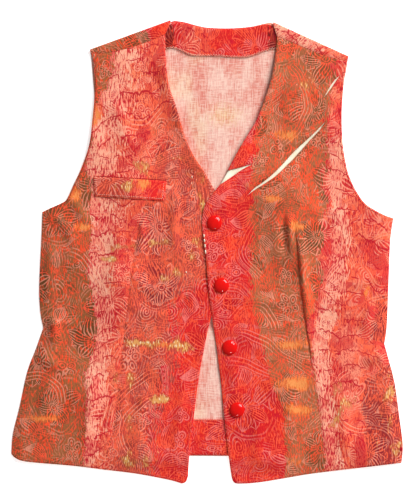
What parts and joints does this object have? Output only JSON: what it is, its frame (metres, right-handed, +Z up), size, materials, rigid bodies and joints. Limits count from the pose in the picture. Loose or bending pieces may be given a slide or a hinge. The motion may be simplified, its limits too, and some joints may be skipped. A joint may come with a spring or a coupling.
{
  "type": "vest",
  "caption": "Sleeveless printed cotton vest laid flat on its back, V neck, right front lapped over the left, pointed hems, domed snap caps, welt pocket and worn rips.",
  "frame": {"origin": "centre of the bounding box, on the surface that the vest lies on", "axes": "+X to the right of the picture, which is the wearer's left; +Y from the hem towards the neck; +Z up, out of the cloth's face"},
  "size_m": [0.5096, 0.6032, 0.0113],
  "materials": {
    "back_cloth": "printed cotton, its pale pink reverse showing inside the neck",
    "left_front_print": "printed cotton in brown, coral and rust bands",
    "right_front_print": "printed cotton in red, brown and coral bands",
    "facing_print": "printed cotton, red with pink line flowers, raw edge",
    "cream_cloth": "plain cream cotton",
    "welt_print": "printed cotton, edge stitched",
    "snap_enamel": "glossy red cap"
  },
  "bodies": {
    "root": {"back": "back_cloth", "front_left": "left_front_print", "front_right": "right_front_print", "neck_facing": "facing_print", "back_hem_facing": "facing_print", "rip_backing": "cream_cloth", "pocket_welt": "welt_print", "snap_cap_1": "snap_enamel", "snap_cap_2": "snap_enamel", "snap_cap_3": "snap_enamel", "snap_cap_4": "snap_enamel"}
  },
  "joints": []
}
